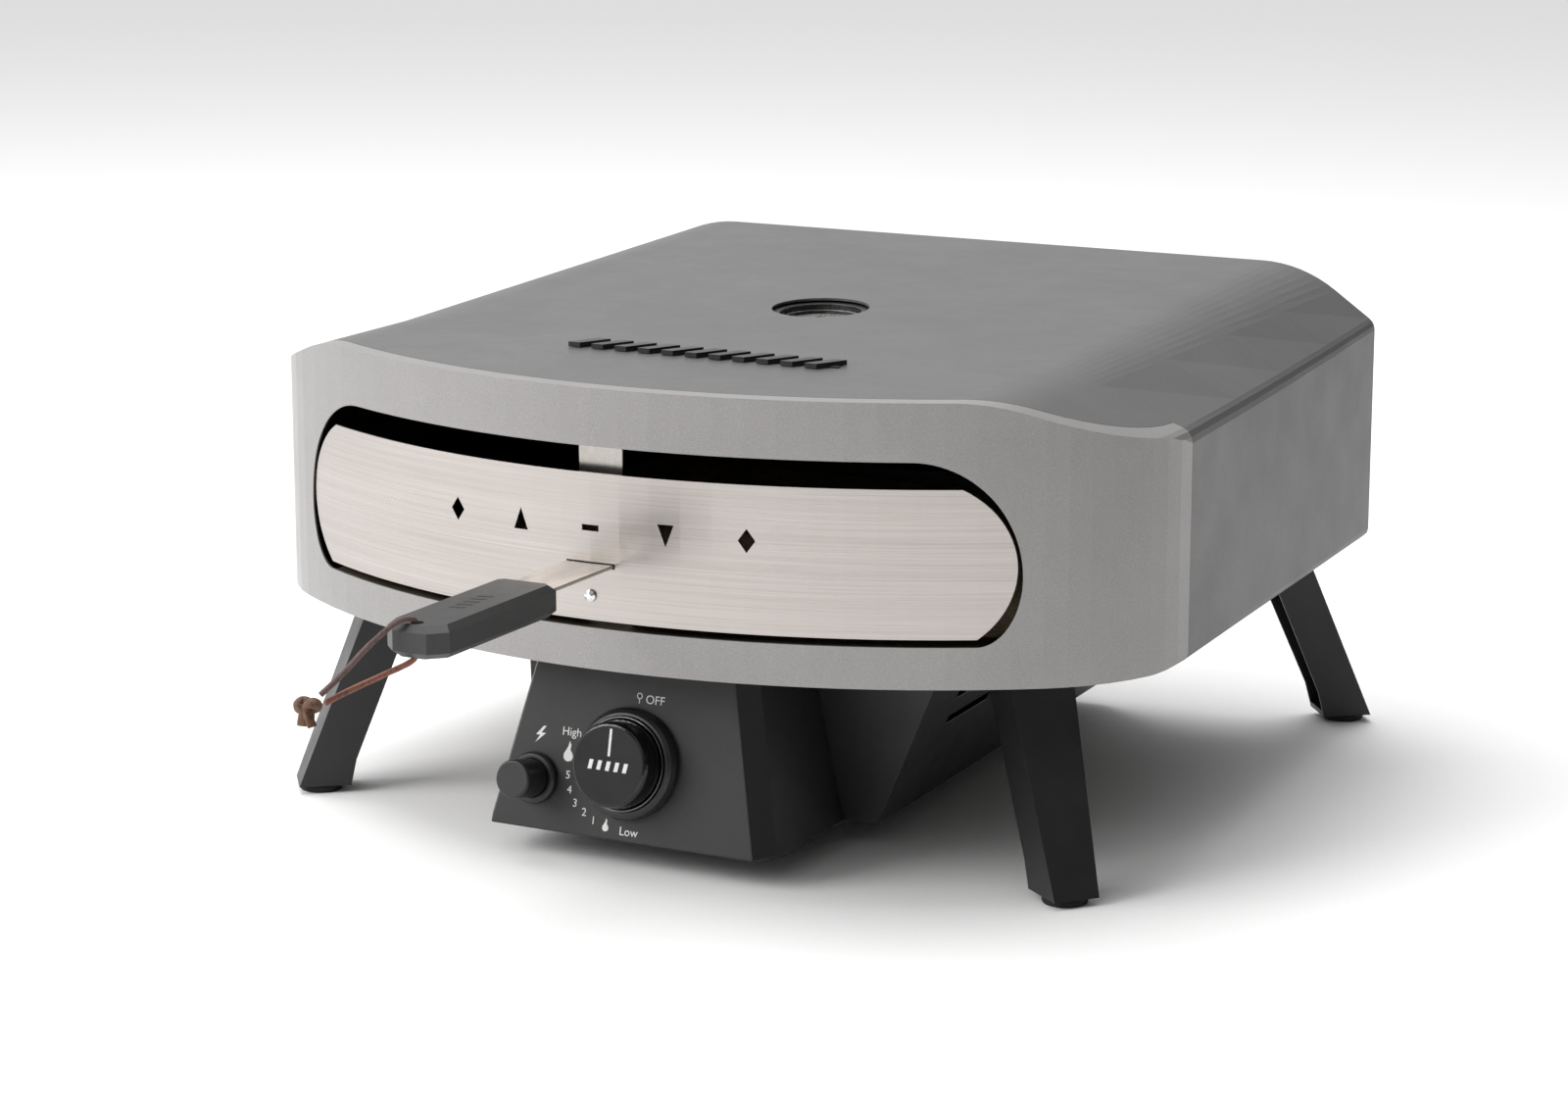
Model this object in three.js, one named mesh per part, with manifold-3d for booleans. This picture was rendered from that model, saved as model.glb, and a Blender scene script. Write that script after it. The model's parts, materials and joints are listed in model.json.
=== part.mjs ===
// Gas-fired tabletop pizza oven. Millimetres, +Z up, front towards -Y.
// Inside this file y = 0 is the seam where the front fascia meets the side walls;
// the finished group is moved so that its origin is the bottom centre of its bounding box.
import * as THREE from 'three';
import { mergeVertices } from 'three/addons/utils/BufferGeometryUtils.js';
import Module from 'manifold-3d';

const wasm = await Module();
wasm.setup();

// ---------------------------------------------------------------- driving dimensions
const GAP = 0.3;                 // clearance between touching pieces
const BODY_WIDTH = 600;
const BODY_DEPTH = 371;          // seam to the back edge
const BODY_BOTTOM = 130.6;        // underside of the body above the table
const SHEET = 1.5;               // shell, fascia and casing sheet
const LIP = 12.4;                // folded rim of the fascia

// outline of the body: flat top, round shoulder, straight slope, vertical side
const FRONT = { half: BODY_WIDTH / 2, top: 295.6, flat: 204, round: 104, slope: 20.5 };
const BACK = { half: BODY_WIDTH / 2 - 22.2, top: 310.4, flat: 198, round: 90, slope: 35 };
const SIDE_ROUND = 9;            // top edge of the vertical side
const FOOT_ROUND = 6;            // bottom edge of the vertical side

// plan of the fascia: a wide arc that tightens towards both ends
const FASCIA_ARC = 432;
const FASCIA_ARC_HALF = BODY_WIDTH * 0.4173;
const FASCIA_END_TURN = 89.2;    // degrees, direction of the ends against the front

// mouth of the oven: flat sill, straight top, ends of two elliptic quarters each
const MOUTH_HALF = 240;
const MOUTH_TOP = 261.8;
const MOUTH_SILL = 155.2;
const MOUTH_WIDEST = 195;        // height at which the mouth is widest
const MOUTH_HIGH = 55;           // width of each upper quarter
const MOUTH_LOW = 22.5;          // width of each lower quarter

// cooking chamber: circular ends
const CHAMBER_END_X = 178.7;
const CHAMBER_END_Z = 200.8;
const CHAMBER_RADIUS = 74;
const CHAMBER_SHEET = 1.2;
const CHAMBER_BACK_SPACE = 26;   // chamber to the back edge of the body
const SILL_DEPTH = 27;           // front edge of the stone behind the fascia
const STONE_THICKNESS = 15;
const STONE_MARGIN = 1.5;        // stone to the edge of its tray
const STONE_CORNER = 18;
const BURNER_RADIUS = 9.5;
const BURNER_END_SPACE = 38;     // end of the burner to the chamber wall
const BURNER_FROM_BACK = 62;     // burner axis to the back edge of the body
const BURNER_Z = 168;
const PIPE_RADIUS = 4;
const GUARD_FROM_BURNER = 9;

// control box and burner housing under the body
const BOX_BOTTOM = 18;
const BOX_HALF = 97.4;
const BOX_FRONT = -143;
const BOX_TILT = 12;             // degrees, panel leans back towards the top
const BOX_FLARE = 0.225;         // narrowing of each side per unit of height
const BOX_CHAMFER_X = 8.4;
const BOX_CHAMFER_Y = 15;
const HOUSING_FRONT = -41;
const HOUSING_BACK = 350;
const HOUSING_HALF = 119.5;
const HOUSING_FLARE = { left: 0.04, right: 0.42 };
const HOUSING_TAPER = 0.045;     // narrowing of each side per unit of depth
const SLOT_HEIGHTS = [73.5, 90.5, 107];
const SLOT_FRONT = 11;
const SLOT_LENGTH = 66;
const SLOT_WIDTH = 4.5;

// controls, placed on the panel by x and by height along the panel
const KNOB = { x: 1.7, along: 46.8, radius: 25, base: 26.4, height: 26, stem: 4 };
const KNOB_BEZEL_RADIUS = 33.4;
const KNOB_TRIM_RADIUS = 28.2;
const IGNITER = { x: -61.5, along: 30.6, radius: 11.5, bezel: 15.6, height: 27 };
const VALVE_RADIUS = 15;
const VALVE_LENGTH = 40;
const VALVE_RECESS = 12;         // room for the stem and plunger to travel inwards

// thermometer in the top
const GAUGE_Y = 116;
const GAUGE_RADIUS = 31;
const GAUGE_WALL = 3.5;
const GAUGE_DEPTH = 13;
const GAUGE_BRIM = 3;            // brim of the cup under the shell
const PROBE_RADIUS = 2.5;

// door
const DOOR_TOP = 246.1;
const DOOR_BOTTOM = 159.5;
const DOOR_END_X = 184.5;
const DOOR_END_Z = 200.2;
const DOOR_RADIUS = 52.6;
const DOOR_SET_BACK = 1;
const DOOR_SHEET = 1.5;
const VENT_X = [-96, -48, 0, 48, 96];
const VENT_Z = 213.8;
const TONGUE_WIDTH = 30.4;
const TONGUE_SHEET = 2;
const TONGUE_Z = 192.3;
const SCREW_Z = 174;
const HOOK_WIDTH = 29;
const HOOK_SET_BACK = 10.2;      // upper end of the strap behind the door sheet
const HEEL_SET_BACK = 21;        // foot of the strap behind the door sheet
// grip: ends and hole by their distance in front of the fascia
const GRIP = { width: 39.5, back: 67.49, front: 190.49, top: 197.3, bottom: 178.7, hole: 181.99, holeRadius: 3.6 };
const THONG_DIAMETER = 3.2;

// legs
const LEG_TOP = { x: 219.5, front: -46.3, back: 348 };
const LEG_SPLAY_X = 0.308;       // sideways per unit of height
const LEG_SPLAY_Y = { front: 0.237, back: 0.34 };
const LEG_TURN = 38;             // degrees, outer face turned away from the side wall
const LEG_WIDTH_TOP = 42;
const LEG_WIDTH_FOOT = 29;
const LEG_DEPTH = 29.7;
const LEG_WALL = 2;
const LEG_FLARE = 9;             // inner side widens towards the bracket
const LEG_HEEL = 3;              // inner side widens at the foot
const PAD_HEIGHT = 4.8;
const PAD_RADIUS = 13.6;
const HINGE_DROP = 7.5;          // pin below the mounting plate
const PLATE = 2.5;
const PIN_RADIUS = 2.5;
const EAR = 5;                   // radius of a hinge ear around its pin

// ---------------------------------------------------------------- materials
const paint = (color, roughness, metalness) =>
  new THREE.MeshStandardMaterial({ color, roughness, metalness });
const MATERIALS = {
  shell: paint('#6c6d6e', 0.5, 0.3),
  fascia: paint('#9b9c9d', 0.45, 0.3),
  steel: paint('#cfccc8', 0.3, 1),
  dark_steel: paint('#3a3a3b', 0.5, 0.8),
  black_paint: paint('#242425', 0.5, 0.2),
  black_plastic: paint('#161617', 0.35, 0),
  grip: paint('#333436', 0.6, 0),
  rubber: paint('#111112', 0.8, 0),
  stone: paint('#c9b58f', 0.95, 0),
  brass: paint('#b8924a', 0.35, 1),
  white: paint('#e8e8e4', 0.5, 0),
  red: paint('#b3261e', 0.4, 0),
  glass: paint('#dfe8ea', 0.05, 0),
  fibre: paint('#e6e2d8', 1, 0),
  leather: paint('#4a3028', 0.8, 0),
  chrome: paint('#d8d8da', 0.12, 1),
};

// ---------------------------------------------------------------- solid helpers
const rad = THREE.MathUtils.degToRad;
const model = new THREE.Group();

function solid(geometry) {
  geometry.deleteAttribute('normal');
  geometry.deleteAttribute('uv');
  const merged = mergeVertices(geometry, 1e-4);
  return new wasm.Manifold(new wasm.Mesh({
    numProp: 3,
    vertProperties: merged.attributes.position.array,
    triVerts: Uint32Array.from(merged.index.array),
  }));
}

function put(name, body, material) {
  const data = body.getMesh();
  const geometry = new THREE.BufferGeometry();
  geometry.setAttribute('position', new THREE.BufferAttribute(data.vertProperties, 3));
  geometry.setIndex(new THREE.BufferAttribute(data.triVerts, 1));
  geometry.computeVertexNormals();
  const mesh = new THREE.Mesh(geometry, MATERIALS[material].clone());
  mesh.name = name;
  model.add(mesh);
}

function box(x0, x1, y0, y1, z0, z1) {
  const geometry = new THREE.BoxGeometry(x1 - x0, y1 - y0, z1 - z0);
  geometry.translate((x0 + x1) / 2, (y0 + y1) / 2, (z0 + z1) / 2);
  return solid(geometry);
}

const shapeOf = (points) => new THREE.Shape(points.map(([u, v]) => new THREE.Vector2(u, v)));

function extrude(shape, length, matrix) {
  const geometry = new THREE.ExtrudeGeometry(shape, { depth: length, bevelEnabled: false, curveSegments: 12 });
  geometry.applyMatrix4(matrix);
  return solid(geometry);
}

// prisms whose outline is drawn in the plane across the named axis
function prismX(shape, x0, x1) {
  const m = new THREE.Matrix4().set(0, 0, 1, x0, 1, 0, 0, 0, 0, 1, 0, 0, 0, 0, 0, 1);
  return extrude(shape, x1 - x0, m);
}
function prismY(shape, y0, y1) {
  const m = new THREE.Matrix4().set(1, 0, 0, 0, 0, 0, -1, y1, 0, 1, 0, 0, 0, 0, 0, 1);
  return extrude(shape, y1 - y0, m);
}
function prismZ(shape, z0, z1) {
  return extrude(shape, z1 - z0, new THREE.Matrix4().makeTranslation(0, 0, z0));
}

// closed body through rings of points that all have the same count; ends are convex
function loft(rings) {
  const count = rings[0].length;
  const position = rings.flat().flatMap((p) => [p.x, p.y, p.z]);
  const index = [];
  for (let r = 0; r + 1 < rings.length; r++) {
    for (let i = 0; i < count; i++) {
      const j = (i + 1) % count;
      const [a, b, c, d] = [r * count + i, r * count + j, (r + 1) * count + j, (r + 1) * count + i];
      index.push(a, b, c, a, c, d);
    }
  }
  const last = (rings.length - 1) * count;
  for (let i = 1; i + 1 < count; i++) {
    index.push(0, i + 1, i, last, last + i, last + i + 1);
  }
  const geometry = new THREE.BufferGeometry();
  geometry.setAttribute('position', new THREE.Float32BufferAttribute(position, 3));
  geometry.setIndex(index);
  return solid(geometry);
}

// turned body on an axis from `from` along `direction`; profile is [radius, height along the axis]
function turned(profile, from, direction, sides = 32) {
  const points = profile.map(([r, h]) => new THREE.Vector2(r, h));
  const geometry = new THREE.LatheGeometry(points, sides);
  const turn = new THREE.Quaternion().setFromUnitVectors(
    new THREE.Vector3(0, 1, 0), direction.clone().normalize());
  geometry.applyQuaternion(turn);
  geometry.translate(from.x, from.y, from.z);
  return solid(geometry);
}

const rod = (from, to, radius, sides = 16) => turned(
  [[0, 0], [radius, 0], [radius, from.distanceTo(to)], [0, from.distanceTo(to)]],
  from, to.clone().sub(from), sides);

const ring = (from, direction, outer, inner, h0, h1, sides = 32) =>
  turned([[inner, h0], [outer, h0], [outer, h1], [inner, h1], [inner, h0]], from, direction, sides);

// round bar through the points
function bar(points, radius, sides, steps) {
  const path = new THREE.CatmullRomCurve3(points, false, 'centripetal');
  const section = shapeOf(Array.from({ length: sides }, (_, i) => {
    const angle = (i / sides) * 2 * Math.PI;
    return [radius * Math.cos(angle), radius * Math.sin(angle)];
  }));
  return solid(new THREE.ExtrudeGeometry(section, { steps, extrudePath: path, bevelEnabled: false }));
}

const v3 = (x, y, z) => new THREE.Vector3(x, y, z);
const join = (first, ...rest) => rest.reduce((sum, part) => sum.add(part), first);
const cut = (first, ...rest) => rest.reduce((left, part) => left.subtract(part), first);

// ---------------------------------------------------------------- outline of the body
const mix = (a, b, t) => a + (b - a) * t;
const backShare = (y) => Math.max(0, y) / BODY_DEPTH;
const topZ = (y) => mix(FRONT.top, BACK.top, backShare(y));
const TOP_SLOPE = Math.atan2(BACK.top - FRONT.top, BODY_DEPTH);

// right half of the body outline at depth y, from the bottom centre to the top centre
function halfOutline(y, inset) {
  const t = backShare(y);
  const of = (key) => mix(FRONT[key], BACK[key], t);
  const slope = rad(of('slope'));
  const half = of('half') - inset;
  const round = of('round') - inset;
  const bottom = BODY_BOTTOM + inset;
  const top = of('top') - inset;
  const points = [];
  const arc = (cx, cz, r, from, to, steps) => {
    for (let i = 0; i <= steps; i++) {
      const angle = mix(from, to, i / steps);
      points.push([cx + r * Math.cos(angle), cz + r * Math.sin(angle)]);
    }
  };
  const low = FOOT_ROUND - inset / 2;
  arc(half - low, bottom + low, low, -Math.PI / 2, 0, 3);
  const slopeStart = [of('flat') + round * Math.sin(slope), top - round + round * Math.cos(slope)];
  const cornerZ = slopeStart[1] - (half - slopeStart[0]) * Math.tan(slope);
  const tangent = SIDE_ROUND * Math.tan((Math.PI / 2 - slope) / 2);
  arc(half - SIDE_ROUND, cornerZ - tangent, SIDE_ROUND, 0, Math.PI / 2 - slope, 3);
  arc(of('flat'), top - round, round, Math.PI / 2 - slope, Math.PI / 2, 8);
  return points;
}

function outlineRing(y, inset) {
  const right = halfOutline(y, inset);
  const left = right.map(([x, z]) => [-x, z]).reverse();
  return [...right, ...left].reverse().map(([x, z]) => v3(x, y, z));
}

const BEHIND = 60;
const BODY_RINGS = [0, 0.25, 0.5, 0.75, 1];

// body outline swept from ahead of the fascia to the back edge, and `beyond` past it
function bodySolid(inset, beyond = 0) {
  const rings = [AHEAD, ...BODY_RINGS.map((share) => share * BODY_DEPTH)];
  if (beyond) rings.push(BODY_DEPTH + beyond);
  return loft(rings.map((y) => outlineRing(y, inset)));
}

// ---------------------------------------------------------------- plan of the fascia
const HALF = BODY_WIDTH / 2;
const arcTurn = Math.asin(FASCIA_ARC_HALF / FASCIA_ARC);
const endTurn = rad(FASCIA_END_TURN);
const END_ARC = (HALF - FASCIA_ARC_HALF) / (Math.sin(endTurn) - Math.sin(arcTurn));
const endCentreX = (FASCIA_ARC - END_ARC) * Math.sin(arcTurn);
const endCentreY = END_ARC * Math.cos(endTurn);
const arcCentreY = endCentreY + (FASCIA_ARC - END_ARC) * Math.cos(arcTurn);
const FASCIA_FRONT = arcCentreY - FASCIA_ARC;
const AHEAD = FASCIA_FRONT - 30; // clear of everything in the body

function planPoint(inset, turn) {
  const side = Math.sign(turn);
  const a = Math.abs(turn);
  if (a <= arcTurn) {
    const r = FASCIA_ARC - inset;
    return [side * r * Math.sin(a), arcCentreY - r * Math.cos(a)];
  }
  const r = END_ARC - inset;
  return [side * (endCentreX + r * Math.sin(a)), endCentreY - r * Math.cos(a)];
}

const PLAN_TURNS = [];
for (let i = -22; i <= 22; i++) {
  const wide = Math.abs(i) <= 14;
  const turn = wide ? (Math.abs(i) / 14) * arcTurn : mix(arcTurn, endTurn, (Math.abs(i) - 14) / 8);
  PLAN_TURNS.push(Math.sign(i) * turn);
}
const planCurve = (inset) => PLAN_TURNS.map((turn) => planPoint(inset, turn));

// front surface of the fascia at a given x
function planY(x, inset) {
  const curve = planCurve(inset);
  const i = curve.findIndex((p) => p[0] >= x);
  const [a, b] = [curve[Math.max(i - 1, 0)], curve[i]];
  return mix(a[1], b[1], (x - a[0]) / Math.max(b[0] - a[0], 1e-6));
}

// strip between two insets of the curve
const planBand = (near, far) => shapeOf([...planCurve(near), ...planCurve(far).reverse()]);

// everything behind the curve at an inset, open to the full width behind the seam
function planBehind(inset, seamGap) {
  const curve = planCurve(inset).map(([x, y]) => [x, y + seamGap]);
  const [ex, ey] = curve[curve.length - 1];
  const wide = HALF + 10;
  const slope = -Math.cos(endTurn) / Math.sin(endTurn);
  const ySide = ey + (wide - ex) * slope;
  return shapeOf([
    [-wide, ySide], ...curve, [wide, ySide],
    [wide, BODY_DEPTH + BEHIND], [-wide, BODY_DEPTH + BEHIND],
  ]);
}

const CEILING = 400;

// ---------------------------------------------------------------- casing
function mouthShape() {
  const shape = new THREE.Shape();
  const [low, high] = [MOUTH_WIDEST - MOUTH_SILL, MOUTH_TOP - MOUTH_WIDEST];
  const quarter = Math.PI / 2;
  const end = (side, width, height, from) => shape.absellipse(side * (MOUTH_HALF - width), MOUTH_WIDEST,
    width, height, from, from + quarter, false);
  end(1, MOUTH_LOW, low, -quarter);
  end(1, MOUTH_HIGH, high, 0);
  end(-1, MOUTH_HIGH, high, quarter);
  end(-1, MOUTH_LOW, low, 2 * quarter);
  shape.closePath();
  return shape;
}

function makeFascia() {
  const face = prismZ(planBand(0, SHEET), BODY_BOTTOM - 1, CEILING);
  const rim = prismZ(planBand(0, LIP), BODY_BOTTOM - 1, CEILING).subtract(bodySolid(SHEET));
  const sheet = face.add(rim).intersect(bodySolid(0));
  put('front_fascia', sheet.subtract(prismY(mouthShape(), AHEAD, 100)), 'fascia');
}

function makeShell() {
  const flange = 26;
  const floorCut = box(-HALF + flange, HALF - flange, AHEAD, BODY_DEPTH + 5, BODY_BOTTOM - 5, BODY_BOTTOM + 5);
  const wrap = cut(bodySolid(0), bodySolid(SHEET, BEHIND), floorCut);
  const gaugeHole = rod(v3(0, GAUGE_Y, topZ(0) - 30), v3(0, GAUGE_Y, CEILING), GAUGE_RADIUS, 32);
  put('outer_shell', wrap.intersect(prismZ(planBehind(LIP + GAP, GAP), 0, CEILING)).subtract(gaugeHole), 'shell');
}

const PAN_Z = BODY_BOTTOM + SHEET + GAP;

function makePan() {
  const plan = planBehind(SHEET + GAP, 0);
  const slab = bodySolid(SHEET + GAP).intersect(box(-HALF, HALF, AHEAD, BODY_DEPTH - 7, PAN_Z, PAN_Z + SHEET));
  const feedHole = box(-14, 14, burnerY - 14, burnerY + 14, PAN_Z - 5, PAN_Z + 5);
  const probe = IGNITER.x;
  const wireHole = rod(v3(probe, burnerY, PAN_Z - 5), v3(probe, burnerY, PAN_Z + 5), 6);
  put('base_pan', cut(slab.intersect(prismZ(plan, 0, CEILING)), feedHole, wireHole), 'dark_steel');
}

function makeRearPanel() {
  const y1 = BODY_DEPTH - 4;
  const block = box(-HALF, HALF, y1 - SHEET, y1, PAN_Z + SHEET + GAP, CEILING);
  const panel = bodySolid(SHEET + GAP).intersect(block);
  const slots = Array.from({ length: 9 }, (_, i) => box(
    -180 + i * 42, -156 + i * 42, y1 - 10, y1 + 10, 268, 273));
  put('rear_panel', cut(panel, ...slots), 'shell');
}

// ---------------------------------------------------------------- cooking chamber
const burnerY = BODY_DEPTH - BURNER_FROM_BACK;
const chamberBack = BODY_DEPTH - CHAMBER_BACK_SPACE;
const chamberTop = CHAMBER_END_Z + CHAMBER_RADIUS;

function chamberShape(inset) {
  const r = CHAMBER_RADIUS - inset;
  const drop = Math.asin((CHAMBER_END_Z - chamberFoot) / r);
  const shape = new THREE.Shape();
  shape.absarc(CHAMBER_END_X, CHAMBER_END_Z, r, -drop, Math.PI / 2, false);
  shape.absarc(-CHAMBER_END_X, CHAMBER_END_Z, r, Math.PI / 2, Math.PI + drop, false);
  shape.closePath();
  return shape;
}

// axis of the thermometer, square to the sloping top
const gaugeUp = v3(0, -Math.sin(TOP_SLOPE), Math.cos(TOP_SLOPE));
const gaugeSeat = v3(0, GAUGE_Y, topZ(GAUGE_Y));
const probeHole = () => rod(gaugeSeat.clone().addScaledVector(gaugeUp, -80), gaugeSeat, PROBE_RADIUS + 1);

function makeChamber() {
  const outer = prismY(chamberShape(0), AHEAD, chamberBack);
  const inner = prismY(chamberShape(CHAMBER_SHEET), AHEAD - 10, chamberBack - CHAMBER_SHEET);
  const wall = cut(outer, inner).intersect(prismZ(planBehind(SHEET + GAP, 0), 0, CEILING));
  put('cooking_chamber', wall.subtract(probeHole()), 'dark_steel');
}

const STONE_TOP = MOUTH_SILL - 0.6;
const trayTop = STONE_TOP - STONE_THICKNESS - GAP;
const chamberFoot = PAN_Z + SHEET + 2 * GAP + 4;
const chamberInside = CHAMBER_RADIUS - CHAMBER_SHEET;
const chamberHalf = (z) => CHAMBER_END_X + Math.sqrt(chamberInside ** 2 - (CHAMBER_END_Z - z) ** 2);
const burnerHalf = chamberHalf(BURNER_Z - BURNER_RADIUS) - BURNER_END_SPACE;
const trayHalf = chamberHalf(chamberFoot) - GAP;
const guardY = burnerY - BURNER_RADIUS - GUARD_FROM_BURNER;
const trayBack = guardY - CHAMBER_SHEET - GAP;

// floor sheet under the stone, stepped up at the front to make the sill of the mouth
function makeTray() {
  const region = (inset) => prismZ(planBehind(inset, 0), 0, CEILING);
  const slab = (z0, z1) => box(-trayHalf, trayHalf, AHEAD, trayBack, z0, z1);
  const floor = slab(trayTop - CHAMBER_SHEET, trayTop).intersect(region(SILL_DEPTH));
  const step = slab(trayTop - CHAMBER_SHEET, STONE_TOP).intersect(region(SILL_DEPTH))
    .subtract(region(SILL_DEPTH + CHAMBER_SHEET));
  const sill = slab(STONE_TOP - CHAMBER_SHEET, STONE_TOP).intersect(region(SHEET + GAP))
    .subtract(region(SILL_DEPTH + CHAMBER_SHEET));
  const ribs = [-1, 1].map((side) => box(side * 120 - 8, side * 120 + 8, -80, trayBack - 20,
    PAN_Z + SHEET + GAP, trayTop));
  put('floor_tray', join(floor, step, sill, ...ribs), 'dark_steel');
}

function makeStone() {
  const w = trayHalf - STONE_MARGIN;
  const back = trayBack - STONE_MARGIN;
  const r = STONE_CORNER;
  const shape = new THREE.Shape();
  shape.moveTo(-w, AHEAD);
  shape.lineTo(w, AHEAD);
  shape.absarc(w - r, back - r, r, 0, Math.PI / 2, false);
  shape.absarc(-w + r, back - r, r, Math.PI / 2, Math.PI, false);
  shape.closePath();
  const plan = prismZ(planBehind(SILL_DEPTH + CHAMBER_SHEET + STONE_MARGIN, 0), 0, CEILING);
  put('pizza_stone', prismZ(shape, STONE_TOP - STONE_THICKNESS, STONE_TOP).intersect(plan), 'stone');
}

function makeInsulation() {
  const half = FRONT.flat - 6;
  const slab = box(-half, half, FASCIA_FRONT + 56.5, chamberBack, chamberTop + GAP, chamberTop + 12);
  const cup = rod(v3(0, GAUGE_Y, chamberTop + 1), v3(0, GAUGE_Y, CEILING), GAUGE_RADIUS, 32);
  put('roof_insulation', cut(slab, cup, probeHole()), 'fibre');
}

function makeBurner() {
  const half = burnerHalf;
  const tube = rod(v3(-half, burnerY, BURNER_Z), v3(half, burnerY, BURNER_Z), BURNER_RADIUS, 20);
  const venturi = rod(v3(0, burnerY, BURNER_Z), v3(0, burnerY, PAN_Z - 18), 8, 20);
  const collar = rod(v3(0, burnerY, PAN_Z - 18), v3(0, burnerY, PAN_Z - 8), 11, 20);
  const ports = Array.from({ length: 15 }, (_, i) => {
    const x = -half + 20 + i * (2 * half - 40) / 14;
    return box(x - 1, x + 1, burnerY - 30, burnerY - 4, BURNER_Z + 2, BURNER_Z + 5);
  });
  put('burner_tube', cut(join(tube, venturi, collar), ...ports), 'steel');

  for (const [side, name] of [[-1, 'left'], [1, 'right']]) {
    const x = side * (half - 24);
    const strap = box(x - 7, x + 7, burnerY - BURNER_RADIUS - 4, chamberBack - CHAMBER_SHEET - GAP,
      BURNER_Z - BURNER_RADIUS - 4, BURNER_Z + BURNER_RADIUS + 4);
    const hollow = rod(v3(x - 20, burnerY, BURNER_Z), v3(x + 20, burnerY, BURNER_Z), BURNER_RADIUS + GAP, 20);
    put(`burner_bracket_${name}`, strap.subtract(hollow), 'dark_steel');
  }

  const foot = PAN_Z + SHEET + GAP;
  const upright = box(-half, half, guardY - CHAMBER_SHEET, guardY, foot, BURNER_Z - 5);
  const wing = box(-half, half, guardY - CHAMBER_SHEET, guardY + 6, foot, foot + CHAMBER_SHEET);
  put('flame_guard', join(upright, wing), 'dark_steel');
}

// ---------------------------------------------------------------- control box and burner housing
const tilt = rad(BOX_TILT);
const panelNormal = v3(0, -Math.cos(tilt), Math.sin(tilt));
const panelUp = v3(0, Math.sin(tilt), Math.cos(tilt));
const panelPoint = (x, along, off) => v3(x, BOX_FRONT, BOX_BOTTOM)
  .addScaledVector(panelUp, along).addScaledVector(panelNormal, off);
const BOX_TOP = BODY_BOTTOM - GAP;

function boxRing(z, inset, back) {
  const half = BOX_HALF - BOX_FLARE * (z - BOX_BOTTOM) - inset;
  const front = BOX_FRONT + Math.tan(tilt) * (z - BOX_BOTTOM) + inset / Math.cos(tilt);
  const [cx, cy] = [BOX_CHAMFER_X - inset * 0.4, BOX_CHAMFER_Y - inset * 0.4];
  return [[-half, back], [-half, front + cy], [-half + cx, front], [half - cx, front],
    [half, front + cy], [half, back]].map(([x, y]) => v3(x, y, z));
}

function makeControlBox() {
  const back = HOUSING_FRONT - GAP;
  const outer = loft([boxRing(BOX_BOTTOM, 0, back), boxRing(BOX_TOP, 0, back)]);
  const inner = loft([boxRing(BOX_BOTTOM + SHEET, SHEET, back + 5), boxRing(BOX_TOP + 5, SHEET, back + 5)]);
  const holes = [[KNOB, KNOB.stem + 2], [IGNITER, 9 + GAP]].map(([c, r]) =>
    rod(panelPoint(c.x, c.along, -8), panelPoint(c.x, c.along, 8), r, 24));
  const vents = [-40, -20, 0, 20, 40].map((x) => box(x - 4, x + 4, -110, -70, BOX_BOTTOM - 5, BOX_BOTTOM + 5));
  put('control_box', cut(outer, inner, ...holes, ...vents), 'black_paint');
}

function housingRing(z, inset, front, back) {
  const half = (side, y) => HOUSING_HALF + HOUSING_FLARE[side] * (z - BOX_BOTTOM)
    - HOUSING_TAPER * (y - HOUSING_FRONT) - inset;
  return [[-half('left', front), front], [half('right', front), front],
    [half('right', back), back], [-half('left', back), back]].map(([x, y]) => v3(x, y, z));
}

function makeHousing() {
  const [front, back] = [HOUSING_FRONT, HOUSING_BACK];
  const outer = loft([housingRing(BOX_BOTTOM, 0, front, back), housingRing(BOX_TOP, 0, front, back)]);
  const inner = loft([housingRing(BOX_BOTTOM + SHEET, SHEET, front + SHEET, back - SHEET),
    housingRing(BOX_TOP + 5, SHEET, front + SHEET, back - SHEET)]);
  const doorway = box(-60, 60, front - 5, front + 5, BOX_BOTTOM + 12, BOX_TOP - 12);
  const slots = [-1, 1].flatMap((side) => SLOT_HEIGHTS.map((z) => box(
    Math.min(side * 100, side * 190), Math.max(side * 100, side * 190),
    SLOT_FRONT, SLOT_FRONT + SLOT_LENGTH, z - SLOT_WIDTH / 2, z + SLOT_WIDTH / 2)));
  const inlet = rod(v3(INLET_X, back - 5, INLET_Z), v3(INLET_X, back + 5, INLET_Z), 6 + GAP, 20);
  put('burner_housing', cut(outer, inner, doorway, ...slots, inlet), 'black_paint');
}

// ---------------------------------------------------------------- gas line and controls
const INLET_X = 60;
const INLET_Z = 60;

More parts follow.
